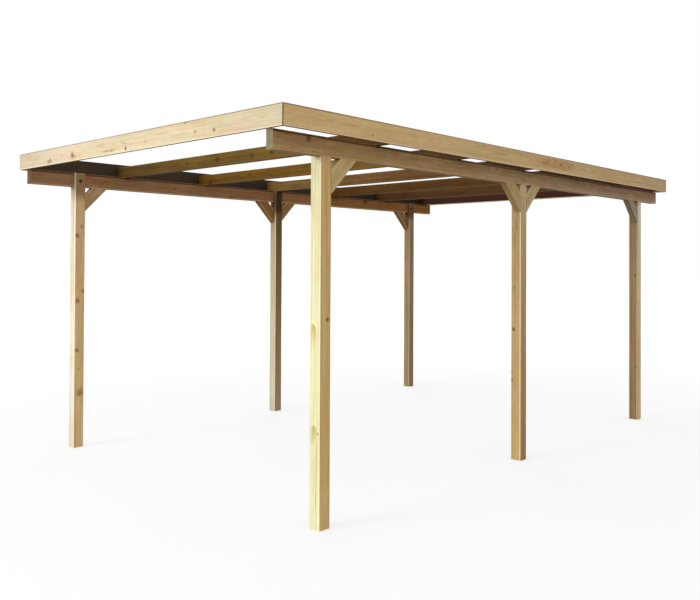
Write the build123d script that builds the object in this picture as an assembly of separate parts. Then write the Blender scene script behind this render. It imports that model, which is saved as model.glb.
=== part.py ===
from build123d import *

import math
import os

# Open timber carport with a flat roof frame, in millimetres.
# Origin: centre of the roof outline, on the floor. +X is the right-hand side, +Y is the rear, +Z is up.

# Posts: square timbers in two rows of three.
POST_WIDTH = 90.0
POST_ARRIS = 6.0

# Beams: one along each row, let into the outer side of its posts.
CLEAR_HEIGHT = 2250.0  # from the floor to the underside of a beam
BEAM_THICKNESS = 58.0
BEAM_DEPTH = 120.0
BEAM_ARRIS = 4.0

# Knee braces: 45 degree struts as thick as the beam above them.
BRACE_WIDTH = 100.0
BRACE_REACH = 225.0  # from the corner of post and beam to the brace's lower edge
BRACE_ARRIS = 4.0

# Rafters: laid across both beams at an even spacing.
RAFTER_COUNT = 5
RAFTER_THICKNESS = 45.0
RAFTER_DEPTH = 100.0
RAFTER_ARRIS = 3.0

# Fascias: four boards on edge, mitred at the corners, that close the roof frame.
ROOF_WIDTH = 3300.0
ROOF_LENGTH = 5500.0
SIDE_OVERHANG = 105.0  # from the outer faces of the posts to the outside of a fascia
END_OVERHANG = 405.0  # the same, in front of the front posts and behind the rear posts
FASCIA_THICKNESS = 20.0
FASCIA_DEPTH = 130.0
FASCIA_ARRIS = 2.0
MITRE_HEEL = 5.0  # the inner part of each mitre, where two boards meet
MITRE_OPENING = 5.0  # how far each tip stops short of the corner, so the joint shows as an open groove

# Sizes that follow from the ones above.
ROW_SPACING = ROOF_WIDTH - 2 * SIDE_OVERHANG - POST_WIDTH  # between post centres, left to right
BAY_SPACING = (ROOF_LENGTH - 2 * END_OVERHANG - POST_WIDTH) / 2  # between post centres along a row
BEAM_TOP = CLEAR_HEIGHT + BEAM_DEPTH
BEAM_X = ROW_SPACING / 2 + POST_WIDTH / 2 - BEAM_THICKNESS / 2  # beam and post are flush outside
FRAME_WIDTH = ROOF_WIDTH - 2 * FASCIA_THICKNESS
FRAME_LENGTH = ROOF_LENGTH - 2 * FASCIA_THICKNESS
RAFTER_SPACING = FRAME_LENGTH / (RAFTER_COUNT + 1)
BRACE_INNER_REACH = BRACE_REACH - BRACE_WIDTH * math.sqrt(2)

SIDES = {"right": 1, "left": -1}
ROWS = {"front": -BAY_SPACING, "middle": 0.0, "rear": BAY_SPACING}
TOWARDS = {"front": -1, "rear": 1}
# Each end post has one brace, leaning towards the middle post, which has one each way.
BRACES = [("front", "rear"), ("middle", "front"), ("middle", "rear"), ("rear", "front")]


def rounded(solid, direction, radius):
    """The solid with its edges along one direction rounded."""
    return fillet(solid.edges().filter_by(Axis((0, 0, 0), direction)), radius)


def beam_blank(side):
    """The square-edged timber that one beam is made from."""
    middle_z = CLEAR_HEIGHT + BEAM_DEPTH / 2
    return Pos(side * BEAM_X, 0, middle_z) * Box(BEAM_THICKNESS, FRAME_LENGTH, BEAM_DEPTH)


def post(side, row_y):
    """A post whose head is notched outside for the beam, leaving an inner tongue beside it."""
    shaft = rounded(Box(POST_WIDTH, POST_WIDTH, BEAM_TOP), (0, 0, 1), POST_ARRIS)
    return Pos(side * ROW_SPACING / 2, row_y, BEAM_TOP / 2) * shaft - beam_blank(side)


def beam(side):
    """A beam that runs the whole length inside the fascias."""
    return rounded(beam_blank(side), (0, 1, 0), BEAM_ARRIS)


def brace(side, row_y, lean):
    """A strut from a post's face up to the beam's underside, cut to sit flat on both."""
    face_y = row_y + lean * POST_WIDTH / 2
    outline = Polygon(
        (face_y, CLEAR_HEIGHT - BRACE_REACH),
        (face_y + lean * BRACE_REACH, CLEAR_HEIGHT),
        (face_y + lean * BRACE_INNER_REACH, CLEAR_HEIGHT),
        (face_y, CLEAR_HEIGHT - BRACE_INNER_REACH),
        align=None,
    )
    strut = extrude(Plane.YZ * outline, BEAM_THICKNESS / 2, both=True)
    return Pos(side * BEAM_X, 0, 0) * rounded(strut, (0, lean, 1), BRACE_ARRIS)


def rafter(number):
    """Rafter 1 is the nearest to the front."""
    joist = rounded(Box(FRAME_WIDTH, RAFTER_THICKNESS, RAFTER_DEPTH), (1, 0, 0), RAFTER_ARRIS)
    return Pos(0, number * RAFTER_SPACING - FRAME_LENGTH / 2, BEAM_TOP + RAFTER_DEPTH / 2) * joist


def fascia(length, reach, turn):
    """A mitred board with its outer face at a distance from the origin, turned about Z to its side."""
    half = length / 2
    inner_half = half - FASCIA_THICKNESS
    heel_half = inner_half + MITRE_HEEL
    right_end = [
        (half - MITRE_OPENING, -reach),
        (heel_half, half - heel_half - reach),
        (inner_half, half - inner_half - reach),
    ]
    left_end = [(-x, y) for x, y in reversed(right_end)]
    blank = extrude(Polygon(*right_end, *left_end, align=None), FASCIA_DEPTH)
    board = rounded(blank, (1, 0, 0), FASCIA_ARRIS)
    return Rot(0, 0, turn) * Pos(0, 0, BEAM_TOP) * board


nodes = {}
for side_name, side in SIDES.items():
    nodes[f"beam_{side_name}"] = beam(side)
    for row_name, row_y in ROWS.items():
        nodes[f"post_{row_name}_{side_name}"] = post(side, row_y)
    for row_name, lean_name in BRACES:
        nodes[f"brace_{row_name}_{side_name}_to_{lean_name}"] = brace(side, ROWS[row_name], TOWARDS[lean_name])
for number in range(1, RAFTER_COUNT + 1):
    nodes[f"rafter_{number}"] = rafter(number)
nodes["fascia_front"] = fascia(ROOF_WIDTH, ROOF_LENGTH / 2, 0)
nodes["fascia_right"] = fascia(ROOF_LENGTH, ROOF_WIDTH / 2, 90)
nodes["fascia_rear"] = fascia(ROOF_WIDTH, ROOF_LENGTH / 2, 180)
nodes["fascia_left"] = fascia(ROOF_LENGTH, ROOF_WIDTH / 2, 270)

os.makedirs("parts", exist_ok=True)
for name, shape in nodes.items():
    export_step(shape, f"parts/{name}.step")
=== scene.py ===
import math
import random

import bmesh
import bpy
from mathutils import Matrix, Vector


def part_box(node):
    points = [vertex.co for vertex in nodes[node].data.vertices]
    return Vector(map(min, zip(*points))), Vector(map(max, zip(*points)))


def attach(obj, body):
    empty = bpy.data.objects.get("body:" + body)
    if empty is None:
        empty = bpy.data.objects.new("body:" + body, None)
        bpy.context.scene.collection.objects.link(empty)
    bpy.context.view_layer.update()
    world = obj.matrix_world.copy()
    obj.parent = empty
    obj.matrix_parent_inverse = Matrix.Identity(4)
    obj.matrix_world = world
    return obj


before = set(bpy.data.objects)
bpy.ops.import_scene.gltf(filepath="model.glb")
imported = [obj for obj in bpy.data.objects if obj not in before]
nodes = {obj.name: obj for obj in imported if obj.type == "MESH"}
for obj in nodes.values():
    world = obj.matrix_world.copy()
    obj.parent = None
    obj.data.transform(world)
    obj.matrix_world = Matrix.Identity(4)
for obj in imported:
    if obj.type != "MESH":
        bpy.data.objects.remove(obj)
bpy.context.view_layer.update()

X, Y, Z = Vector((1, 0, 0)), Vector((0, 1, 0)), Vector((0, 0, 1))
SIDES = {"right": 1, "left": -1}
ROWS = ("front", "middle", "rear")
# The row of the post that each brace stands at, and the row that it leans towards.
BRACES = (("front", "rear"), ("middle", "front"), ("middle", "rear"), ("rear", "front"))


# ---------------------------------------------------------------- shader node helpers

def linear(level):
    """One channel of a colour as it should look, 0 to 255, as the linear value the shaders need."""
    return level / 255 / 12.92 if level <= 10 else ((level / 255 + 0.055) / 1.055) ** 2.4


def srgb(red, green, blue):
    return (linear(red), linear(green), linear(blue))


class Graph:
    """Short calls for building one material's node tree."""

    def __init__(self, owner):
        owner.use_nodes = True
        self.tree = owner.node_tree
        self.tree.nodes.clear()

    def node(self, kind, **settings):
        made = self.tree.nodes.new(kind)
        for key, value in settings.items():
            setattr(made, key, value)
        return made

    def feed(self, value, socket):
        if isinstance(value, bpy.types.NodeSocket):
            self.tree.links.new(value, socket)
        elif socket.type == "RGBA" and len(value) == 3:
            socket.default_value = (*value, 1.0)
        else:
            socket.default_value = value

    def feed_all(self, values, sockets):
        for value, socket in zip(values, sockets):
            self.feed(value, socket)

    def math(self, operation, *values):
        made = self.node("ShaderNodeMath", operation=operation)
        self.feed_all(values, made.inputs)
        return made.outputs[0]

    def add(self, base, value, times=1.0):
        """The base plus the value, taken so many times."""
        return self.math("MULTIPLY_ADD", value, times, base)

    def product(self, first, *others):
        for value in others:
            first = self.math("MULTIPLY", first, value)
        return first

    def away(self, value, centre=0.0):
        """How far a value lies from a centre, to either side."""
        return self.math("ABSOLUTE", self.math("SUBTRACT", value, centre))

    def vector(self, operation, *values):
        made = self.node("ShaderNodeVectorMath", operation=operation)
        self.feed_all(values, made.inputs)
        return made.outputs["Value" if operation in {"LENGTH", "DOT_PRODUCT"} else "Vector"]

    def split(self, vector):
        made = self.node("ShaderNodeSeparateXYZ")
        self.feed(vector, made.inputs[0])
        return made.outputs

    def join(self, *values):
        made = self.node("ShaderNodeCombineXYZ")
        self.feed_all(values, made.inputs)
        return made.outputs[0]

    def noise(self, vector, scale=(1.0, 1.0, 1.0), detail=2.0, roughness=0.5, output="Fac"):
        made = self.node("ShaderNodeTexNoise")
        self.feed(self.vector("MULTIPLY", vector, scale), made.inputs["Vector"])
        self.feed(1.0, made.inputs["Scale"])
        self.feed(detail, made.inputs["Detail"])
        self.feed(roughness, made.inputs["Roughness"])
        return made.outputs[output]

    def ramp(self, value, low, high, to_low=0.0, to_high=1.0):
        """A smooth step from one result to another as the value goes from low to high."""
        made = self.node("ShaderNodeMapRange", clamp=True, interpolation_type="SMOOTHSTEP")
        self.feed_all((value, low, high, to_low, to_high), made.inputs)
        return made.outputs[0]

    def mix(self, factor, a, b, blend="MIX"):
        made = self.node("ShaderNodeMix", data_type="RGBA", blend_type=blend)
        self.feed_all((factor, a, b), (made.inputs[0], made.inputs[6], made.inputs[7]))
        return made.outputs[2]

    def tint(self, factor, colour, by):
        """The colour multiplied by another, as far as the factor says."""
        return self.mix(factor, colour, by, "MULTIPLY")

    def scaled(self, colour, amount):
        return self.tint(1.0, colour, self.join(amount, amount, amount))

    def seen(self):
        """1 for the rays that show a surface: straight to the camera, mirrored or through glass."""
        rays = self.node("ShaderNodeLightPath").outputs
        direct = self.math("MAXIMUM", rays["Is Camera Ray"], rays["Is Glossy Ray"])
        return self.math("MAXIMUM", direct, rays["Is Transmission Ray"])

    def bump(self, height, strength, distance):
        made = self.node("ShaderNodeBump")
        self.feed(strength, made.inputs["Strength"])
        self.feed(distance, made.inputs["Distance"])
        self.feed(height, made.inputs["Height"])
        return made.outputs[0]

    def finish(self, shader, kind="ShaderNodeOutputMaterial"):
        self.feed(shader, self.node(kind).inputs["Surface"])


# ---------------------------------------------------------------- wood

# Tints that multiply a board's own colour.
OLIVE = (0.84, 0.88, 0.66)        # green left by the pressure treatment
ROSY = (1.0, 0.82, 0.73)          # resinous, reddish wood
LATE_WOOD = (0.80, 0.66, 0.50)
MARGIN = (0.78, 0.69, 0.50)       # shade beside the pale arris strip
KNOT_RIM = (0.70, 0.50, 0.34)
PALE_KNOT = (1.03, 1.04, 1.06)
DARK_KNOT = (0.34, 0.20, 0.12)
CHECK = (0.30, 0.24, 0.18)
# darker along the upper edge: painted shade on the beams, a darker top edge on the fascias
TOP_EDGE_DARK = (0.26, 0.20, 0.15)
ROOF_SHADE = (0.42, 0.33, 0.26)    # painted shade on wood under the roof frame
SWIRL = (0.68, 0.50, 0.36)
FEATHER = (0.74, 0.66, 0.46)      # brown below an overgrown branch
FEATHER_PALE = (1.05, 1.08, 1.16)

# How many times in a metre the noises change: along the grain, across the width, across the thickness.
FIBRES = (9.0, 420.0, 420.0)
STREAKS = (0.9, 60.0, 60.0)
HUES = (18.0, 42.0, 42.0)
CURLS = (9.0, 26.0, 26.0)
CHECKS = (0.55, 21.0, 21.0)
RING_WAVES = (1.6, 14.0, 14.0)
PITH_WAVES = (0.8, 0.0, 0.0)
# The same for the two kinds of stain, as multiples of a board's stains per metre.
PATCH_STRETCH = (1.0, 3.6, 3.6)
STAIN_STRETCH = (1.6, 5.6, 5.6)

# The stretch over which a feature fades in or out, on the noise, ratio or ring phase that shapes it.
MOST_NOISE = (0.25, 0.75)         # between these lie most of a noise's values
PATCH_EDGES = (0.36, 0.62)
STAIN_EDGES = (0.50, 0.64)
CHECK_PATCHES = (0.52, 0.60)
CHECK_EDGES = (0.0015, 0.005)
RING_DARKENS = (0.35, 0.93)
RING_ENDS = (0.95, 1.0)
KNOT_EDGES = (0.7, 1.15)
KNOT_RIM_EDGES = (1.0, 2.4)

STAIN_SHIFT = (7.0, 3.0, 9.0)     # keeps the stains apart from the patches
FIBRE_SHADE = 0.08                # how much the fibres vary the brightness
FAINTEST_RING = 0.3               # late wood of the faintest ring, as a share of the darkest
CURL_LINES = 9.0                  # dark lines in a swirl, from the lowest to the highest noise
ARRIS_STRIP_WRAP = 1.5                    # how many times less far the pale arris strip reaches across the thickness
ARRIS_STRIP_RAGGED = 0.002                # how uneven the streaks make the edge of the pale arris strip
MARGIN_RAGGED = 0.012             # the same for the shade beside it
TOP_EDGE_RAGGED = 0.006
HEAD_RAGGED = 0.06
ARRIS_STRIP_FADE = 0.003                  # over how far the pale arris strip fades out
LOW_STRIP = (0.006, 0.010)        # where the painted highlight along the lower edge starts to fade, and its end
MARGIN_REACH = (0.008, 0.030)     # the same for the shade beside the pale arris strip
HEAD_FADE = 0.10                  # over how far the painted shade on a post head fades in
EAVES = (0.75, 0.35)              # from a rafter's end: where its painted shade starts and is full
PITH_WANDER = 0.03                # how far the pith strays to and fro along the board
RING_WANDER = 0.008               # how far the growth rings stray from circles
KNOT_PUSH = 0.010                 # how far a knot pushes them aside
BRANCH_RISE = 0.35                # how steeply branches climb along the trunk
LEAST_RADIUS = 0.0003             # of a branch, at its root
FAR_OFF = 9.0                     # further from any knot, in radii, than its rim reaches
RELIEF_DEPTH = 0.0005
RELIEF_STRENGTH = 0.55
DULL_SHEEN = 0.12                 # specular level of dry wood

# Colours come in pairs: at the board's low, left or front end, and at its other end.
PLAIN = {
    "pith": (0.02, -0.07),        # across the board, in its width and thickness
    "branch_root": None,          # where knots radiate from, when it isn't the pith
    "heart_edge": 0.085,          # radius where heartwood gives way to sapwood
    "heart_fade": 0.024,          # over how much radius it does
    "rings": 0.0046,
    "ring_depth": 0.55,
    "lean": 0.008,                # how fast the pith drifts away along the board
    "blotch": 2.0,                # stains per metre
    "olive": 0.6,
    "olive_patches": (0.44, 0.60),
    "rosy": 0.6,
    "streaky": 0.14,
    "mottle": 0.07,               # small uneven patches of hue
    "patchy": 0.0,                # larger uneven patches of brightness
    "knots_per_metre": 1.2,
    "knot_radius": (0.003, 0.007),
    "checks": 0.7,
    "arris": 0.005,               # how far the pale strip reaches from an arris: partly worn wood, partly painted highlight
    "arris_pale": 0.5,
    "arris_other": 1.0,           # the same on the arrises at the low side of the width, as a share
    "margin": 0.0,                # shade beside that strip, on the faces that look along the width
    "margin_other": 0.0,          # the same on the other faces, at the low side of the width
    "low_highlight": 0.0,              # painted highlight along the lower edge
    "top_grime": None,            # darker along the upper edge, on the beams as painted shade under the fascias and rafters: how deep, how dark
    "underside": 1.0,             # brightness of the face that looks down, as painted shade
    "bow": 0.0,                   # how much brighter the middle is than the two end colours give
    "end_shade": (0.0, 0.0),      # painted shade on the low and the other end, under the eaves: how dark
    "head_shade": None,            # painted shade on the top end beside the beam: how dark, and how far down
    "pale_front": 0.0,            # how far the face that looks back along the thickness is spared that
    "inner": None,                # a face painted darker as shade, in colours of its own: which way it looks, and its pair of colours
    "end": srgb(172, 160, 130),
    "knots": (),                  # face, along, across that face, radius, darkness
    "swirls": (),                 # curly grain: along, across width, half length, half width
    "feathers": (),               # overgrown branches on one face: along, across width, half width
}


# Long faces of a board: the side of its width or of its thickness on which they lie.
HIGH_WIDE = (1, 0)                # a post's right-hand face
LOW_THICK = (0, -1)               # a post's front face
HIGH_THICK = (0, 1)               # right face of a board along Y, front face of a board along X


class Board:
    """One timber, with axes along its grain, its width and its thickness."""

    def __init__(self, name, grain, width_axis, look):
        self.name = name
        self.axes = (grain, width_axis, grain.cross(width_axis))
        self.look = {**PLAIN, **look}
        self.rng = random.Random(name)
        spans = [self.span(axis) for axis in self.axes]
        self.length, self.width, self.thickness = (high - low for low, high in spans)
        middles = [axis * (low + high) / 2 for axis, (low, high) in zip(self.axes, spans)]
        self.centre = sum(middles, Vector())

    def span(self, axis):
        reach = [vertex.co.dot(axis) for vertex in nodes[self.name].data.vertices]
        return min(reach), max(reach)

    def knots(self):
        """The chosen knots and the random ones: along, across width and thickness, radius, darkness."""
        for face, along, across, radius, darkness in (*self.look["knots"], *self.random_knots()):
            wide_side, thick_side = face
            wide = wide_side * self.width / 2 if wide_side else across
            thick = thick_side * self.thickness / 2 if thick_side else across
            yield along, wide, thick, radius, darkness

    def random_knots(self):
        """Small knots on the four long faces, more of them on the broader ones."""
        rng = self.rng
        broad_share = self.width / (self.width + self.thickness)
        for _ in range(round(self.length * self.look["knots_per_metre"])):
            off_middle, side = rng.uniform(-0.8, 0.8), rng.choice((-1, 1))
            across_width = rng.random() < broad_share
            face = (0, side) if across_width else (side, 0)
            across = off_middle * (self.width if across_width else self.thickness) / 2
            along = rng.uniform(-0.48, 0.48) * self.length
            radius = rng.uniform(*self.look["knot_radius"])
            yield face, along, across, radius, rng.uniform(0.3, 1.0)


def branch(g, local, root, knot):
    """Distance from a branch that widens from its root to its knot, in radii of the branch."""
    along, wide, thick, radius, _ = knot
    run = Vector((0, wide - root[0], thick - root[1]))
    direction = (run.normalized() + Vector((BRANCH_RISE, 0, 0))).normalized()
    length = run.length / direction.yz.length
    start = Vector((along, wide, thick)) - direction * length
    offset = g.vector("SUBTRACT", local, tuple(start))
    reach = g.vector("DOT_PRODUCT", offset, tuple(direction))
    spread = g.vector("LENGTH", g.vector("CROSS_PRODUCT", offset, tuple(direction)))
    grown = g.math("MAXIMUM", g.math("MULTIPLY", reach, radius / length), LEAST_RADIUS)
    return g.math("DIVIDE", spread, grown)


class Timber:
    """The material of one board of planed softwood.

    The measures and noises that several of its features share are laid out first. Each later method
    takes the colour so far and returns it with one more feature.
    """

    def __init__(self, board):
        self.board = board
        self.look = board.look
        self.material = bpy.data.materials.new("wood_" + board.name)
        self.g = Graph(self.material)
        self.seed = board.rng.uniform(0, 50)
        self.lay_axes()
        self.lay_noises()
        self.grow_knots()
        self.grow_rings()
        self.finish(self.painted())

    # What the features share.

    def lay_axes(self):
        """Places along the grain, the width and the thickness, and what each face looks towards."""
        g, board = self.g, self.board
        coordinates = g.node("ShaderNodeTexCoord").outputs
        mapping = g.node("ShaderNodeMapping", vector_type="TEXTURE")
        g.feed(coordinates["Object"], mapping.inputs["Vector"])
        g.feed(tuple(board.centre), mapping.inputs["Location"])
        g.feed(tuple(Matrix(board.axes).transposed().to_euler()), mapping.inputs["Rotation"])
        self.local = mapping.outputs[0]
        self.along, self.wide, self.thick = g.split(self.local)
        self.towards_end = g.add(0.5, self.along, 1 / board.length)
        self.low_half = g.ramp(self.wide, -0.01, 0.01, 1.0, 0.0)
        self.off_wide = g.math("SUBTRACT", board.width / 2, g.away(self.wide))
        self.off_thick = g.math("SUBTRACT", board.thickness / 2, g.away(self.thick))
        self.normal = coordinates["Normal"]
        self.facing_along, self.facing_wide, self.facing_thick = map(self.facing, board.axes)

    def facing(self, direction):
        """1 on a face that looks in a direction, -1 on one that looks the other way."""
        return self.g.vector("DOT_PRODUCT", self.normal, tuple(direction))

    def ragged(self, measure, depth):
        """A measure along or across the board, made uneven by its streaks."""
        return self.g.add(measure, self.streak, depth)

    def lay_noises(self):
        """The noises that shape fibres, streaks and stains, and the uneven brightness they give."""
        g, look, seed = self.g, self.look, self.seed
        self.shifted = g.vector("ADD", self.local, (seed, seed * 0.7, seed * 1.3))
        self.fibre = g.noise(self.shifted, FIBRES, 3.0, 0.6)
        self.streak = g.noise(self.shifted, STREAKS, 4.0, 0.6)
        patch_scale = [look["blotch"] * stretch for stretch in PATCH_STRETCH]
        stain_scale = [look["blotch"] * stretch for stretch in STAIN_STRETCH]
        self.patch = g.noise(self.shifted, patch_scale, 3.0, 0.55)
        self.stain = g.noise(g.vector("ADD", self.shifted, STAIN_SHIFT), stain_scale, 3.0, 0.6)
        self.shade = g.product(
            g.ramp(self.streak, *MOST_NOISE, 1.0 + look["streaky"], 1.0 - look["streaky"]),
            g.ramp(self.fibre, *MOST_NOISE, 1.0 - FIBRE_SHADE, 1.0 + FIBRE_SHADE),
            g.ramp(self.patch, *PATCH_EDGES, 1.0 - look["patchy"], 1.0 + look["patchy"]))
        self.check = self.drying_checks()

    def drying_checks(self):
        """Fine cracks that follow the grain, in some patches."""
        g = self.g
        field = g.noise(g.vector("MULTIPLY_ADD", self.local, CHECKS, (0.0, 0.0, self.seed)))
        crack = g.ramp(g.away(field, 0.5), *CHECK_EDGES, self.look["checks"], 0.0)
        return g.product(crack, g.ramp(self.patch, *CHECK_PATCHES))

    def grow_knots(self):
        """Masks and colours of the knots, and the rim of disturbed wood round them."""
        g, root = self.g, self.look["branch_root"] or self.look["pith"]
        nearest = FAR_OFF
        self.cores = []
        for knot in self.board.knots():
            ratio = branch(g, self.local, root, knot)
            nearest = g.math("MINIMUM", ratio, nearest)
            darkness = knot[-1]
            core = tuple(pale + (dark - pale) * darkness for pale, dark in zip(PALE_KNOT, DARK_KNOT))
            self.cores.append((g.ramp(ratio, *KNOT_EDGES, 1.0, 0.0), core))
        self.knot_rim = g.ramp(nearest, *KNOT_RIM_EDGES, 1.0, 0.0)

    def grow_rings(self):
        """Growth rings round a pith line that leans and wanders, pushed aside by knots."""
        g, look = self.g, self.look
        _, stray_wide, stray_thick = g.split(g.noise(self.shifted, PITH_WAVES, 1.0, 0.5, "Color"))
        pith_wide, pith_thick = look["pith"]
        from_wide = self.from_pith(self.wide, stray_wide, pith_wide)
        from_thick = self.from_pith(self.thick, stray_thick, pith_thick)
        from_thick = g.add(from_thick, self.along, look["lean"] * self.board.rng.choice((-1, 1)))
        radius = g.vector("LENGTH", g.join(0.0, from_wide, from_thick))
        radius = g.add(radius, g.noise(self.shifted, RING_WAVES), RING_WANDER)
        self.radius = g.add(radius, self.knot_rim, KNOT_PUSH)
        rings = g.math("DIVIDE", self.radius, look["rings"])
        phase = g.math("FRACT", rings)
        draw = g.node("ShaderNodeTexWhiteNoise", noise_dimensions="1D")
        g.feed(g.math("FLOOR", rings), draw.inputs["W"])
        self.late = g.product(g.ramp(phase, *RING_DARKENS), g.ramp(phase, *RING_ENDS, 1.0, 0.0),
                              g.ramp(draw.outputs["Value"], 0.0, 1.0, FAINTEST_RING, 1.0))

    def from_pith(self, place, stray, pith):
        """How far a place lies from a pith that strays to both sides of its own place."""
        g = self.g
        return g.math("SUBTRACT", g.add(place, stray, PITH_WANDER), pith + PITH_WANDER / 2)

    # The features, in the order in which they are laid over each other.

    def painted(self):
        colour = self.clear_wood()
        for feature in (self.stained, self.swirled, self.shaded, self.painted_end_shade, self.painted_inside_shade,
                        self.feathered, self.knotted, self.shaded_margins, self.wear_and_highlight, self.darkened_top_edge,
                        self.painted_head_shade, self.painted_underside_shade, self.cut):
            colour = feature(colour)
        return colour

    def clear_wood(self):
        """Heartwood and sapwood, each going from one colour to another along the board."""
        g, look = self.g, self.look
        edge, fade = look["heart_edge"], look["heart_fade"]
        heart = g.ramp(self.ragged(self.radius, fade * 0.8), edge, edge + fade, 1.0, 0.0)
        sap, heartwood = (g.mix(self.towards_end, *look[part]) for part in ("sap", "heart"))
        colour = g.mix(heart, sap, heartwood)
        if look["bow"]:
            middle = g.product(self.towards_end, g.math("SUBTRACT", 1.0, self.towards_end))
            colour = g.scaled(colour, g.add(1.0, middle, 4 * look["bow"]))
        return colour

    def stained(self, colour):
        """Green and reddish stains, and the late wood of the growth rings."""
        g, look = self.g, self.look
        colour = g.tint(g.ramp(self.patch, *look["olive_patches"], 0.0, look["olive"]), colour, OLIVE)
        colour = g.tint(g.ramp(self.stain, *STAIN_EDGES, 0.0, look["rosy"]), colour, ROSY)
        return g.tint(g.product(self.late, look["ring_depth"]), colour, LATE_WOOD)

    def swirled(self, colour):
        """Curly, reddish grain inside chosen ovals of the board's width."""
        g = self.g
        for along, wide, half_length, half_width in self.look["swirls"]:
            offset = (g.add(-along / half_length, self.along, 1 / half_length),
                      g.add(-wide / half_width, self.wide, 1 / half_width))
            away = g.vector("LENGTH", g.join(*offset, 0.0))
            zone = g.ramp(g.add(away, self.stain, 0.8), 1.0, 1.5, 1.0, 0.0)
            curls = g.math("FRACT", g.product(g.noise(self.shifted, CURLS, 1.0), CURL_LINES))
            line = g.ramp(g.away(curls, 0.5), 0.08, 0.34, 1.0, 0.25)
            colour = g.tint(g.product(zone, line), colour, SWIRL)
        return colour

    def shaded(self, colour):
        """Uneven brightness, and small uneven patches of hue."""
        g, mottle = self.g, self.look["mottle"]
        hue = g.noise(self.shifted, HUES, 2.0, 0.5, "Color")
        uneven = g.vector("MULTIPLY_ADD", hue, (2 * mottle,) * 3, (1 - mottle,) * 3)
        return g.tint(1.0, g.scaled(colour, self.shade), uneven)

    def painted_end_shade(self, colour):
        """Painted shade on the ends, under the eaves."""
        g, half_length = self.g, self.board.length / 2
        for direction, strength in zip((-1, 1), self.look["end_shade"]):
            if strength:
                outward = g.add(g.product(self.patch, 0.2), self.along, direction)
                starts, full = (half_length - reach for reach in EAVES)
                end = g.ramp(outward, starts, full, 0.0, strength)
                colour = g.tint(end, colour, ROOF_SHADE)
        return colour

    def painted_inside_shade(self, colour):
        """A face painted darker as shade, in colours of its own, where the look has one."""
        g = self.g
        if self.look["inner"]:
            direction, ends = self.look["inner"]
            inside = g.ramp(self.facing(direction), 0.3, 0.8)
            colour = g.mix(inside, colour, g.scaled(g.mix(self.towards_end, *ends), self.shade))
        return colour

    def feathered(self, colour):
        """Overgrown branches on the low face of the thickness: pale above, feathered brown below."""
        g = self.g
        on_face = g.ramp(self.facing_thick, -0.9, -0.7, 1.0, 0.0)
        for along, wide, half_width in self.look["feathers"]:
            across = self.ragged(g.away(self.wide, wide), half_width * 0.8)
            inside = g.product(on_face, g.ramp(across, half_width * 0.9, half_width * 1.5, 1.0, 0.0))
            below = g.math("SUBTRACT", along, g.add(self.along, across, 1.2))
            below = g.add(below, g.math("SUBTRACT", self.stain, 0.5), half_width * 5.0)
            brown = g.product(inside, g.ramp(below, 0.0, half_width * 0.5),
                              g.ramp(below, half_width * 0.8, half_width * 6.0, 1.0, 0.0))
            pale = g.product(inside, g.ramp(below, -half_width * 1.6, -half_width * 0.6),
                             g.ramp(below, -half_width * 0.3, 0.0, 1.0, 0.0))
            colour = g.tint(pale, g.tint(brown, colour, FEATHER), FEATHER_PALE)
        return colour

    def knotted(self, colour):
        """Knots, and drying checks over them."""
        g = self.g
        colour = g.tint(g.product(self.knot_rim, 0.7), colour, KNOT_RIM)
        for mask, core in self.cores:
            colour = g.tint(mask, colour, core)
        return g.tint(self.check, colour, CHECK)

    def shaded_margins(self, colour):
        """A shaded band beside the pale arris strips."""
        g, look = self.g, self.look
        if not (look["margin"] or look["margin_other"]):
            return colour
        across_width = g.ramp(g.away(self.facing_wide), 0.5, 0.9)
        elsewhere = g.math("SUBTRACT", 1.0, across_width)
        for distance, strength in (
            (self.off_thick, g.product(across_width, look["margin"])),
            (self.off_wide, g.product(elsewhere, self.low_half, look["margin_other"])),
        ):
            band = g.ramp(self.ragged(distance, MARGIN_RAGGED), *MARGIN_REACH, 1.0, 0.0)
            colour = g.tint(g.product(band, strength), colour, MARGIN)
        return colour

    def wear_and_highlight(self, colour):
        """A pale strip on the arrises, partly worn wood and partly painted highlight, and a painted
        highlight along the lower edge where the look has it.
        """
        g, look = self.g, self.look
        from_arris = g.math("MAXIMUM", self.off_wide, g.product(self.off_thick, ARRIS_STRIP_WRAP))
        from_arris = self.ragged(from_arris, ARRIS_STRIP_RAGGED)
        pale = g.product(
            g.ramp(from_arris, look["arris"], look["arris"] + ARRIS_STRIP_FADE, look["arris_pale"], 0.0),
            g.add(1.0, self.low_half, look["arris_other"] - 1.0),
            g.ramp(g.away(self.facing_wide), 0.6, 0.92, 1.0, 0.0))
        if look["low_highlight"]:
            ends = (reach - self.board.width / 2 for reach in LOW_STRIP)
            strip = g.product(g.ramp(self.facing_wide, -0.8, -0.5),
                              g.ramp(self.wide, *ends, look["low_highlight"], 0.0))
            pale = g.math("MAXIMUM", pale, strip)
        return g.mix(pale, colour, look["wear_and_highlight"])

    def darkened_top_edge(self, colour):
        """Darker along the upper edge: on the beams, painted shade under the fascias and rafters."""
        g, top_edge = self.g, self.board.width / 2
        if self.look["top_grime"]:
            depth, strength = self.look["top_grime"]
            height = self.ragged(self.wide, TOP_EDGE_RAGGED)
            top_darkening = g.product(g.ramp(height, top_edge - depth, top_edge - depth * 0.6, 0.0, strength),
                              g.ramp(self.facing_wide, 0.5, 0.8, 1.0, 0.3))
            colour = g.tint(top_darkening, colour, TOP_EDGE_DARK)
        return colour

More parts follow.
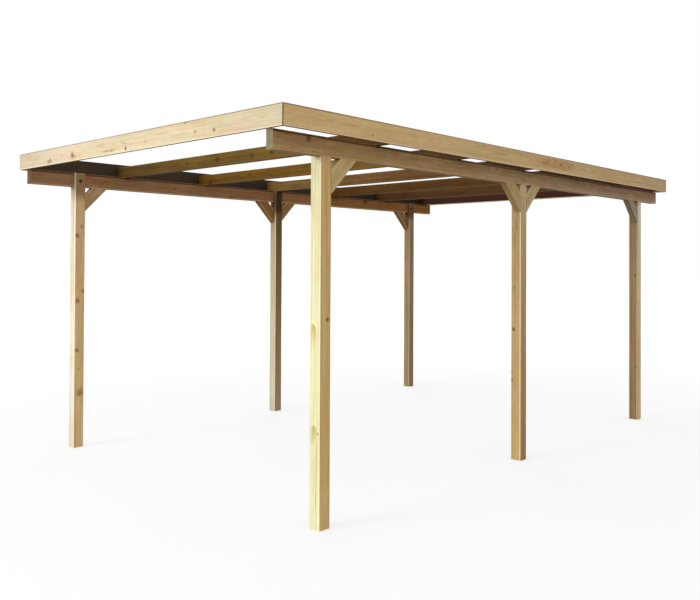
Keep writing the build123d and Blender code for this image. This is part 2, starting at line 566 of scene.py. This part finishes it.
    def painted_head_shade(self, colour):
        """Painted shade on the top of a post, beside the beam."""
        g, top = self.g, self.board.length / 2
        if self.look["head_shade"]:
            strength, reach = self.look["head_shade"]
            height = self.ragged(self.along, HEAD_RAGGED)
            head = g.product(g.ramp(height, top - reach, top - reach + HEAD_FADE, 0.0, strength),
                             g.ramp(self.facing_thick, -0.9, -0.6, 1 - self.look["pale_front"], 1.0))
            colour = g.tint(head, colour, ROOF_SHADE)
        return colour

    def painted_underside_shade(self, colour):
        """Painted shade on the face of a board that looks down, when it lies flat or on edge."""
        g, underside = self.g, self.look["underside"]
        if underside < 1:
            colour = g.scaled(colour, g.ramp(self.facing_wide, -0.7, -0.2, underside, 1.0))
        return colour

    def cut(self, colour):
        """End grain on the cut ends."""
        g = self.g
        cut_end = g.ramp(g.away(self.facing_along), 0.6, 0.8)
        end_grain = g.tint(g.product(self.late, 0.8), g.scaled(self.look["end"], self.shade), LATE_WOOD)
        return g.mix(cut_end, colour, end_grain)

    def finish(self, colour):
        """The relief of rings, fibres and checks, and the dull surface of dry wood."""
        g = self.g
        relief = g.add(g.product(self.fibre, 0.45), self.late, 0.35)
        relief = g.add(relief, self.check, -2.5)
        surface = g.node("ShaderNodeBsdfPrincipled")
        g.feed(colour, surface.inputs["Base Color"])
        g.feed(g.ramp(self.fibre, 0.2, 0.8, 0.58, 0.76), surface.inputs["Roughness"])
        g.feed(DULL_SHEEN, surface.inputs["Specular IOR Level"])
        g.feed(g.bump(relief, RELIEF_STRENGTH, RELIEF_DEPTH), surface.inputs["Normal"])
        g.finish(surface.outputs[0])


def dress(name, grain, width_axis, look):
    """Gives a CAD node its own wood."""
    material = Timber(Board(name, grain, width_axis, look)).material
    for material_slot in nodes[name].material_slots:
        material_slot.material = material


def fading(start, end):
    """Two colours, given as they should look, from one end of a board to the other."""
    return (srgb(*start), srgb(*end))


def even(*colour):
    """One such colour from end to end."""
    return fading(colour, colour)


# Posts: sapwood and heartwood fall on different faces, by where the pith of each tree lay.
# The pale sapwood on the front faces and the tan heartwood on the right-hand faces are partly the
# wood's own colours and partly painted light, the front faces painted as if in stronger light.
PITH_BEHIND_RIGHT = {"pith": (0.075, 0.03)}
PITH_AHEAD_LEFT = {"pith": (-0.03, -0.075)}
POST = {
    "heart_edge": 0.086,
    "heart_fade": 0.006,
    "branch_root": (0.0, 0.0),
    "arris": 0.010,
    "arris_pale": 0.9,
    "arris_other": 0.15,
    "margin": 0.4,
    "olive": 0.4,
    "rosy": 0.45,
    "wear_and_highlight": srgb(248, 226, 176),
    "knots_per_metre": 0.5,
    "lean": 0.004,
}
POSTS = {
    "front_right": {
        **PITH_BEHIND_RIGHT,
        "sap": fading((243, 238, 191), (227, 226, 182)),
        "heart": fading((225, 198, 136), (222, 185, 123)),
        "wear_and_highlight": srgb(254, 246, 206),
        "olive": 0.2,
        "margin": 0.3,
        "head_shade": (0.7, 0.09),
        "knots": ((HIGH_WIDE, 0.077, 0.015, 0.009, 0.8), (LOW_THICK, -0.607, 0.026, 0.005, 0.3)),
        "feathers": ((0.06, -0.012, 0.024), (-0.52, -0.005, 0.026)),
    },
    "front_left": {
        **PITH_BEHIND_RIGHT,
        "sap": fading((225, 223, 209), (212, 200, 176)),
        "heart": fading((235, 201, 150), (214, 181, 132)),
        "bow": 0.2,
        "wear_and_highlight": srgb(252, 240, 208),
        "margin": 0.1,
        "margin_other": 0.2,
        "head_shade": (0.85, 0.24),
        "pale_front": 0.75,
        "knots": (
            (HIGH_WIDE, 0.641, -0.029, 0.013, 0.65), (HIGH_WIDE, 0.72, 0.012, 0.009, 0.4),
            (HIGH_WIDE, 0.077, -0.018, 0.013, 0.45), (HIGH_WIDE, 0.161, 0.03, 0.010, 0.3),
            (HIGH_WIDE, -0.35, -0.021, 0.011, 0.65), (HIGH_WIDE, -0.724, 0.007, 0.020, 0.35),
        ),
    },
    "middle_right": {
        **PITH_BEHIND_RIGHT,
        "sap": fading((203, 173, 115), (207, 175, 132)),
        "heart": fading((175, 142, 94), (222, 200, 158)),
        "bow": -0.12,
        "margin_other": 0.5,
        "knots": (
            (LOW_THICK, -0.122, -0.02, 0.010, 0.9), (LOW_THICK, -0.538, -0.039, 0.009, 1.0),
            (LOW_THICK, -0.474, -0.043, 0.007, 0.8), (LOW_THICK, 0.864, -0.01, 0.010, 0.5),
        ),
    },
    "rear_right": {
        **PITH_AHEAD_LEFT,
        "sap": fading((227, 201, 158), (238, 224, 211)),
        "heart": fading((153, 123, 80), (176, 149, 110)),
        "bow": -0.04,
        "wear_and_highlight": srgb(212, 186, 150),
        "margin": 0.3,
        "margin_other": 0.4,
        "head_shade": (0.5, 0.16),
        "knots": ((LOW_THICK, 0.299, 0.019, 0.008, 0.5), (LOW_THICK, -0.651, 0.024, 0.006, 0.6)),
    },
    # Darker towards its top, partly its own colour and partly painted shade under the roof frame.
    "middle_left": {
        **PITH_BEHIND_RIGHT,
        "sap": fading((209, 204, 186), (169, 146, 110)),
        "heart": fading((173, 149, 116), (92, 69, 32)),
        "bow": 0.2,
        "wear_and_highlight": srgb(240, 222, 190),
        "margin": 0.6,
        "margin_other": 0.5,
        "head_shade": (1.0, 0.26),
    },
    "rear_left": {
        **PITH_BEHIND_RIGHT,
        "sap": fading((163, 144, 110), (169, 140, 103)),
        "heart": fading((162, 129, 96), (155, 135, 110)),
        "wear_and_highlight": srgb(206, 182, 146),
        "margin_other": 0.5,
        "head_shade": (1.0, 0.22),
        "knots": ((LOW_THICK, 0.477, -0.022, 0.005, 0.9),),
    },
}
BEAM = {
    "pith": (0.02, -0.05),
    "blotch": 4.2,
    "olive": 1.0,
    "olive_patches": (0.51, 0.62),
    "rosy": 1.0,
    "arris": 0.003,
    "mottle": 0.18,
    "patchy": 0.08,
    "low_highlight": 0.85,
    "top_grime": (0.015, 0.95),
    "underside": 0.85,
    "wear_and_highlight": srgb(220, 178, 136),
}
BEAMS = {
    "right": {
        "sap": fading((197, 160, 110), (177, 151, 130)),
        "heart": fading((191, 154, 104), (170, 145, 123)),
        "end": srgb(140, 130, 104),
        "knots": ((HIGH_THICK, -2.45, 0.03, 0.014, 0.7), (HIGH_THICK, 0.0, -0.014, 0.008, 0.5)),
    },
    "left": {
        "sap": fading((161, 123, 92), (144, 97, 45)),
        "heart": fading((155, 115, 82), (140, 92, 40)),
        "end": srgb(104, 82, 62),
    },
}
BRACE = {
    "pith": (0.01, -0.06),
    "blotch": 6.0,
    "arris": 0.006,
    "arris_pale": 0.7,
    "olive": 0.7,
    "rosy": 0.5,
    "streaky": 0.2,
    "knots_per_metre": 3.0,
    "knot_radius": (0.003, 0.006),
    "wear_and_highlight": srgb(226, 204, 162),
}
BRACE_COLOURS = {
    "front_right_to_rear": (214, 188, 134),
    "middle_right_to_front": (198, 168, 120),
    "middle_right_to_rear": (206, 184, 142),
    "rear_right_to_front": (166, 150, 128),
    "front_left_to_rear": (196, 160, 126),
    "middle_left_to_front": (152, 110, 62),
    "middle_left_to_rear": (157, 126, 79),
    "rear_left_to_front": (146, 108, 66),
}
RAFTER = {
    "pith": (0.01, -0.05),
    "blotch": 4.0,
    "olive": 0.8,
    "rosy": 0.9,
    "arris": 0.003,
    "arris_pale": 0.2,
    "streaky": 0.26,
    "mottle": 0.2,
    "patchy": 0.16,
    "knots_per_metre": 0.6,
    "knot_radius": (0.004, 0.008),
    "wear_and_highlight": srgb(150, 122, 76),
    "low_highlight": 0.25,
    "underside": 0.7,
    "end_shade": (0.2, 1.0),
}
# The rafters' dark colours are partly their own and partly painted shade under the roof frame, as is
# the darker left-hand end of the first rafter.
RAFTER_COLOURS = (
    ((93, 69, 24), (127, 98, 37)),
    ((105, 74, 8), (122, 90, 32)),
    ((130, 101, 57), (94, 57, 19)),
    ((88, 58, 16), (88, 58, 16)),
    ((80, 53, 21), (80, 53, 21)),
)
RAFTER_KNOTS = {
    1: (
        (HIGH_THICK, -0.13, 0.0, 0.015, 0.6), (HIGH_THICK, 0.29, -0.005, 0.014, 0.3),
        (HIGH_THICK, 0.52, 0.0, 0.012, 0.5),
    ),
    2: ((HIGH_THICK, -0.83, 0.01, 0.010, 0.6),),
}
FASCIA = {
    "pith": (0.012, -0.06),
    "lean": 0.02,
    "ring_depth": 0.4,
    "olive": 0.35,
    "rosy": 0.35,
    "streaky": 0.08,
    "knots_per_metre": 0.5,
    "knot_radius": (0.003, 0.006),
    "arris": 0.002,
    "low_highlight": 0.8,
    "top_grime": (0.005, 0.7),
    "underside": 0.12,
    "wear_and_highlight": srgb(240, 222, 184),
}
FASCIAS = {
    "front": {
        "sap": fading((202, 188, 162), (215, 202, 175)),
        "heart": fading((198, 181, 150), (210, 195, 165)),
        "bow": 0.2,
        "rosy": 0.5,
        "mottle": 0.12,
        "knots": (
            (HIGH_THICK, -1.096, -0.029, 0.011, 0.7), (HIGH_THICK, -1.13, -0.038, 0.010, 0.5),
            (HIGH_THICK, -0.74, -0.019, 0.015, 0.8), (HIGH_THICK, -0.70, -0.030, 0.006, 0.6),
            (HIGH_THICK, -0.241, -0.033, 0.005, 0.5), (HIGH_THICK, -0.166, -0.038, 0.005, 0.5),
            (HIGH_THICK, 0.02, -0.039, 0.009, 1.0), (HIGH_THICK, 0.834, -0.011, 0.007, 0.4),
            (HIGH_THICK, 1.026, -0.02, 0.008, 0.8),
        ),
        "swirls": ((-0.2, -0.036, 0.13, 0.009),),
    },
    "right": {
        "sap": fading((240, 207, 155), (200, 171, 128)),
        "heart": fading((236, 201, 147), (194, 163, 120)),
        "wear_and_highlight": srgb(246, 214, 172),
        "ring_depth": 0.6,
        "mottle": 0.12,
        "knots": ((HIGH_THICK, 0.574, 0.008, 0.006, 0.7),),
        "swirls": ((0.36, 0.008, 0.38, 0.05),),
    },
    "rear": {"sap": even(218, 192, 150), "heart": even(214, 184, 138)},
    "left": {"sap": even(219, 196, 158), "heart": even(215, 186, 144)},
}
# The inside faces of the fascias, darker than the outside ones as painted shade under the roof frame.
FASCIA_INSIDE = {
    "front": even(150, 122, 88),
    "right": even(146, 116, 80),
    "rear": even(60, 30, 19),
    "left": fading((67, 56, 43), (38, 28, 17)),
}


def brace_axes(lean_to):
    """A brace's direction up along its grain, and the direction that its lower face looks in."""
    rise = 1 if lean_to == "rear" else -1
    return Vector((0, rise, 1)).normalized(), Vector((0, rise, -1)).normalized()


def dress_posts_and_beams():
    for side in SIDES:
        for row in ROWS:
            dress(f"post_{row}_{side}", Z, X, {**POST, **POSTS[f"{row}_{side}"]})
        dress(f"beam_{side}", Y, Z, {**BEAM, **BEAMS[side]})


def dress_braces():
    for side in SIDES:
        for row, lean_to in BRACES:
            name = f"{row}_{side}_to_{lean_to}"
            colour = even(*BRACE_COLOURS[name])
            grain, lower_face = brace_axes(lean_to)
            dress(f"brace_{name}", grain, -lower_face, {**BRACE, "sap": colour, "heart": colour})


def dress_rafters():
    for number, ends in enumerate(RAFTER_COLOURS, 1):
        colour = fading(*ends)
        own = {"sap": colour, "heart": colour, "knots": RAFTER_KNOTS.get(number, ())}
        dress(f"rafter_{number}", X, Z, {**RAFTER, **own})


def dress_fascias():
    for name, grain, outward in (("front", X, -Y), ("rear", X, Y), ("right", Y, X), ("left", Y, -X)):
        own = {**FASCIAS[name], "inner": (-outward, FASCIA_INSIDE[name])}
        dress(f"fascia_{name}", grain, Z, {**FASCIA, **own})


dress_posts_and_beams()
dress_braces()
dress_rafters()
dress_fascias()


# ---------------------------------------------------------------- bolts and screws

STEEL_BLOTCHES = 160.0    # in a metre
STEEL_GRIT = 1400.0       # the same
GRIT_DEPTH = 0.0001
GRIT_STRENGTH = 0.4


def steel(name, clean, weathered):
    """Zinc-plated steel, dulled by weather in small blotches."""
    material = bpy.data.materials.new(name)
    g = Graph(material)
    place = g.node("ShaderNodeTexCoord").outputs["Object"]
    blotch = g.noise(place, (STEEL_BLOTCHES,) * 3, 3.0, 0.6)
    grit = g.noise(place, (STEEL_GRIT,) * 3, 2.0, 0.6)
    surface = g.node("ShaderNodeBsdfPrincipled")
    g.feed(g.mix(g.ramp(blotch, 0.35, 0.65), clean, weathered), surface.inputs["Base Color"])
    g.feed(1.0, surface.inputs["Metallic"])
    g.feed(g.ramp(blotch, 0.3, 0.7, 0.38, 0.62), surface.inputs["Roughness"])
    g.feed(g.bump(grit, GRIT_STRENGTH, GRIT_DEPTH), surface.inputs["Normal"])
    g.finish(surface.outputs[0])
    return material


STEEL = steel("zinc_plated_steel", srgb(152, 141, 124), srgb(116, 104, 86))
# The nuts' steel is darker than the heads', as painted shade where the nuts sit inside the frame.
SHADED_STEEL = steel("shaded_nut_steel", srgb(92, 80, 68), srgb(62, 52, 42))

TURN_STEPS = 36
ANGLES = [math.tau * step / TURN_STEPS for step in range(TURN_STEPS)]
LOBES = 6
LOBE_DEPTH = 0.14         # as a share of the radius
NUT_CHAMFER = 0.12        # as a share of the nut's thickness
SHARP_ANGLE = math.radians(35)


def ring(mesh, place, height, reaches):
    """A closed ring of points round a place's axis, one reach from the axis for each angle."""
    return [mesh.verts.new(place @ Vector((reach * math.cos(angle), reach * math.sin(angle), height)))
            for angle, reach in zip(ANGLES, reaches)]


def skin(mesh, rings):
    """Faces between each ring and the next; a ring that is one point repeated gives triangles."""
    for low, high in zip(rings, rings[1:]):
        for step in range(TURN_STEPS):
            after = (step + 1) % TURN_STEPS
            corners = dict.fromkeys((low[step], low[after], high[after], high[step]))
            mesh.faces.new(tuple(corners))


def turned(mesh, profile, place, lobed=()):
    """Adds a turned form to the mesh: (radius, height) points from the axis round and back to the axis.

    The rings whose numbers are in lobed have lobes, as a socket for a driver has.
    """
    rings = []
    for number, (radius, height) in enumerate(profile):
        if radius == 0:
            tip = mesh.verts.new(place @ Vector((0, 0, height)))
            rings.append([tip] * TURN_STEPS)
        else:
            depth = LOBE_DEPTH if number in lobed else 0.0
            reaches = [radius * (1 + depth * math.cos(LOBES * angle)) for angle in ANGLES]
            rings.append(ring(mesh, place, height, reaches))
    skin(mesh, rings)


def nut(mesh, across_flats, thickness, bore, lift, place):
    """Adds a hexagon nut with chamfered corners and a bore, standing at a height above its place."""
    flat, sixth = across_flats / 2, math.tau / 6
    chamfer, top = thickness * NUT_CHAMFER, lift + thickness
    bored, rounded = [bore] * TURN_STEPS, [flat] * TURN_STEPS
    hexagon = [flat / math.cos((angle + sixth / 2) % sixth - sixth / 2) for angle in ANGLES]
    levels = ((lift, bored), (lift, rounded), (lift + chamfer, hexagon),
              (top - chamfer, hexagon), (top, rounded), (top, bored))
    rings = [ring(mesh, place, height, reaches) for height, reaches in levels]
    skin(mesh, rings + rings[:1])


def place_towards(position, direction):
    """A place whose local Z points in a direction."""
    return Matrix.Translation(position) @ direction.to_track_quat("Z", "Y").to_matrix().to_4x4()


def fixing(name, mesh, material):
    """Makes the mesh a steel piece of the carport."""
    bmesh.ops.recalc_face_normals(mesh, faces=mesh.faces)
    data = bpy.data.meshes.new(name)
    mesh.to_mesh(data)
    mesh.free()
    data.materials.append(material)
    data.shade_smooth()
    data.set_sharp_from_angle(angle=SHARP_ANGLE)
    piece = bpy.data.objects.new(name, data)
    bpy.context.scene.collection.objects.link(piece)
    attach(piece, "root")


BOLT_RADIUS = 0.005
BOLT_HEAD_RADIUS = 0.012
BOLT_HEAD_HEIGHT = 0.0055
BOLT_HEAD_RIM = 0.0012    # upright edge below the dome
DOME_STEPS = 8
BOLT_RISE = 0.051         # above the beam's underside
WASHER_RADIUS = 0.015
WASHER_THICKNESS = 0.002
NUT_ACROSS = 0.017
NUT_THICKNESS = 0.008
BOLT_TAIL = 0.006         # thread that stands out of the nut
THREAD_PITCH = 0.0015
THREAD_ROOT = 0.9         # radius at the bottom of the thread, as a share of the bolt's
THREAD_POINT = 0.8        # the same at the chamfered end


def dome_profile():
    """A domed bolt head."""
    profile = [(0, BOLT_HEAD_HEIGHT)]
    for step in range(1, DOME_STEPS + 1):
        angle = math.pi / 2 * step / DOME_STEPS
        height = BOLT_HEAD_RIM + (BOLT_HEAD_HEIGHT - BOLT_HEAD_RIM) * math.cos(angle)
        profile.append((BOLT_HEAD_RADIUS * math.sin(angle), height))
    return [*profile, (BOLT_HEAD_RADIUS, 0.0), (0, 0.0)]


def thread_profile():
    """A bolt's threaded end, from the wood to past the nut."""
    top = WASHER_THICKNESS + NUT_THICKNESS + BOLT_TAIL
    profile = [(0, 0.0)]
    for half_turn in range(int(top / THREAD_PITCH * 2)):
        share = THREAD_ROOT if half_turn % 2 else 1.0
        profile.append((BOLT_RADIUS * share, half_turn * THREAD_PITCH / 2))
    return [*profile, (BOLT_RADIUS * THREAD_POINT, top), (0, top)]


def disc_profile(radius, thickness):
    return [(0, 0.0), (radius, 0.0), (radius, thickness), (0, thickness)]


def add_bolts():
    """One carriage bolt for each post: a domed head outside the beam, and a washer and nut inside."""
    for side, sign in SIDES.items():
        beam_low, beam_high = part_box(f"beam_{side}")
        outside = beam_high.x if sign > 0 else beam_low.x
        for row in ROWS:
            post_low, post_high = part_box(f"post_{row}_{side}")
            inside = post_low.x if sign > 0 else post_high.x
            level = Vector((0, (post_low.y + post_high.y) / 2, beam_low.z + BOLT_RISE))
            head = bmesh.new()
            turned(head, dome_profile(), place_towards(level + X * outside, X * sign))
            fixing(f"bolt_head_{row}_{side}", head, STEEL)
            seat = place_towards(level + X * inside, X * -sign)
            tail = bmesh.new()
            turned(tail, disc_profile(WASHER_RADIUS, WASHER_THICKNESS), seat)
            turned(tail, thread_profile(), seat)
            nut(tail, NUT_ACROSS, NUT_THICKNESS, BOLT_RADIUS, WASHER_THICKNESS, seat)
            fixing(f"bolt_nut_{row}_{side}", tail, SHADED_STEEL)


SCREW_RADIUS = 0.0045
SCREW_CROWN = 0.0007      # how far the head stands out of the wood
SCREW_RIM = 0.0001
SCREW_SUNK = 0.002        # how far it goes in
SOCKET_RADIUS = 0.0019
SOCKET_FLOOR = -0.0012
SCREW_FROM_END = 0.055
SCREW_SPREAD = 0.014
SCREW_PROFILE = [
    (0, SOCKET_FLOOR),
    (SOCKET_RADIUS, SOCKET_FLOOR),
    (SOCKET_RADIUS, SCREW_CROWN),
    (SCREW_RADIUS * 0.75, SCREW_CROWN * 0.8),
    (SCREW_RADIUS, SCREW_RIM),
    (SCREW_RADIUS, -SCREW_SUNK),
    (0, -SCREW_SUNK),
]
SOCKET_RINGS = (1, 2)     # the points of the profile that lie on the socket's wall


def add_screws():
    """Two countersunk screws for each end of a brace, through its lower face."""
    for side in SIDES:
        for row, lean_to in BRACES:
            low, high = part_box(f"brace_{row}_{side}_to_{lean_to}")
            grain, lower_face = brace_axes(lean_to)
            foot = Vector(((low.x + high.x) / 2, low.y if grain.y > 0 else high.y, low.z))
            length = (high - low).yz.length
            screws = bmesh.new()
            for run in (SCREW_FROM_END, length - SCREW_FROM_END):
                for shift in (-SCREW_SPREAD, SCREW_SPREAD):
                    place = place_towards(foot + grain * run + X * shift, lower_face)
                    turned(screws, SCREW_PROFILE, place, SOCKET_RINGS)
            fixing(f"brace_screws_{row}_{side}_to_{lean_to}", screws, STEEL)


add_bolts()
add_screws()


# ---------------------------------------------------------------- floor and sky

WHITE = (1.0, 1.0, 1.0)
FLOOR_HALF = 60.0
FLOOR_WHITE = (0.30, 0.30, 0.30)
FLOOR_BOUNCE = (0.15, 0.145, 0.135)
# What the floor shows the camera besides the light that falls on it, close by and far away.
FLOOR_GLOW = (0.60, 0.74)
FLOOR_GLOW_REACH = (3.0, 12.0)
# The sky's strength at the horizon and overhead.
SKY_STRENGTH = (0.80, 1.25)


def floor_material():
    """White to the eye, with the object's soft shadow kept, and darker to light that bounces off it."""
    material = bpy.data.materials.new("floor")
    g = Graph(material)
    plain = g.node("ShaderNodeBsdfDiffuse")
    g.feed(FLOOR_BOUNCE, plain.inputs["Color"])
    pale = g.node("ShaderNodeBsdfDiffuse")
    g.feed(FLOOR_WHITE, pale.inputs["Color"])
    distance = g.vector("LENGTH", g.node("ShaderNodeTexCoord").outputs["Object"])
    glow = g.node("ShaderNodeEmission")
    g.feed(WHITE, glow.inputs["Color"])
    g.feed(g.ramp(distance, *FLOOR_GLOW_REACH, *FLOOR_GLOW), glow.inputs["Strength"])
    bright = g.node("ShaderNodeAddShader")
    g.feed_all((pale.outputs[0], glow.outputs[0]), bright.inputs)
    chosen = g.node("ShaderNodeMixShader")
    g.feed_all((g.seen(), plain.outputs[0], bright.outputs[0]), chosen.inputs)
    g.finish(chosen.outputs[0])
    return material


def lay_floor():
    mesh = bpy.data.meshes.new("floor")
    corners = [(-1, -1), (1, -1), (1, 1), (-1, 1)]
    mesh.from_pydata([(x * FLOOR_HALF, y * FLOOR_HALF, 0.0) for x, y in corners], [], [(0, 1, 2, 3)])
    mesh.materials.append(floor_material())
    floor = bpy.data.objects.new("floor", mesh)
    bpy.context.scene.collection.objects.link(floor)


def hang_sky():
    """An even sky, a little stronger overhead, that shows as plain white behind the object."""
    world = bpy.data.worlds.new("studio")
    bpy.context.scene.world = world
    g = Graph(world)
    height = g.split(g.node("ShaderNodeTexCoord").outputs["Generated"])[2]
    sky = g.node("ShaderNodeBackground")
    g.feed(WHITE, sky.inputs["Color"])
    g.feed(g.ramp(height, 0.0, 1.0, *SKY_STRENGTH), sky.inputs["Strength"])
    backdrop = g.node("ShaderNodeBackground")
    g.feed(WHITE, backdrop.inputs["Color"])
    g.feed(1.0, backdrop.inputs["Strength"])
    chosen = g.node("ShaderNodeMixShader")
    g.feed_all((g.seen(), sky.outputs[0], backdrop.outputs[0]), chosen.inputs)
    g.finish(chosen.outputs[0], "ShaderNodeOutputWorld")


lay_floor()
hang_sky()


# ---------------------------------------------------------------- lights and camera

CAMERA_PLACE = Vector((4.873, -5.652, 1.620))    # ahead of the front right-hand corner, at head height
CAMERA_YAW = math.radians(43.03)
CAMERA_PITCH = math.radians(0.68)
CAMERA_ROLL = math.radians(0.27)
CAMERA_LENS = 40.18       # mm
SENSOR_WIDTH = 36.0       # mm
CAMERA_SHIFT = -0.0692    # the picture is framed a little below the camera's level line
FURTHEST_SEEN = 200.0


def area_light(name, position, target, size, power):
    lamp = bpy.data.lights.new(name, "AREA")
    lamp.shape = "DISK"
    lamp.size = size
    lamp.energy = power
    holder = bpy.data.objects.new(name, lamp)
    holder.location = position
    holder.rotation_mode = "QUATERNION"
    holder.rotation_quaternion = (Vector(target) - Vector(position)).to_track_quat("-Z", "Y")
    bpy.context.scene.collection.objects.link(holder)


def camera_turn():
    """The camera's rotation, from its yaw, pitch and roll."""
    level = Vector((math.cos(CAMERA_YAW), math.sin(CAMERA_YAW), 0.0))
    forward = Vector((-level.y, level.x, 0.0))
    ahead = forward * math.cos(CAMERA_PITCH) + Z * math.sin(CAMERA_PITCH)
    upright = level.cross(ahead)
    right = level * math.cos(CAMERA_ROLL) + upright * math.sin(CAMERA_ROLL)
    upward = upright * math.cos(CAMERA_ROLL) - level * math.sin(CAMERA_ROLL)
    return Matrix((right, upward, -ahead)).transposed()


def place_camera():
    camera = bpy.data.objects.new("camera", bpy.data.cameras.new("camera"))
    camera.matrix_world = Matrix.Translation(CAMERA_PLACE) @ camera_turn().to_4x4()
    camera.data.sensor_width = SENSOR_WIDTH
    camera.data.lens = CAMERA_LENS
    camera.data.shift_y = CAMERA_SHIFT
    camera.data.clip_end = FURTHEST_SEEN
    bpy.context.scene.collection.objects.link(camera)
    bpy.context.scene.camera = camera


area_light("key", (-4.0, -18.0, 5.0), (0.0, -2.0, 1.2), size=6.5, power=1655.0)
area_light("fill", (-8.5, 6.5, 5.0), (0.0, 0.0, 1.2), size=5.0, power=150.0)
place_camera()
bpy.context.scene.view_settings.view_transform = "Standard"
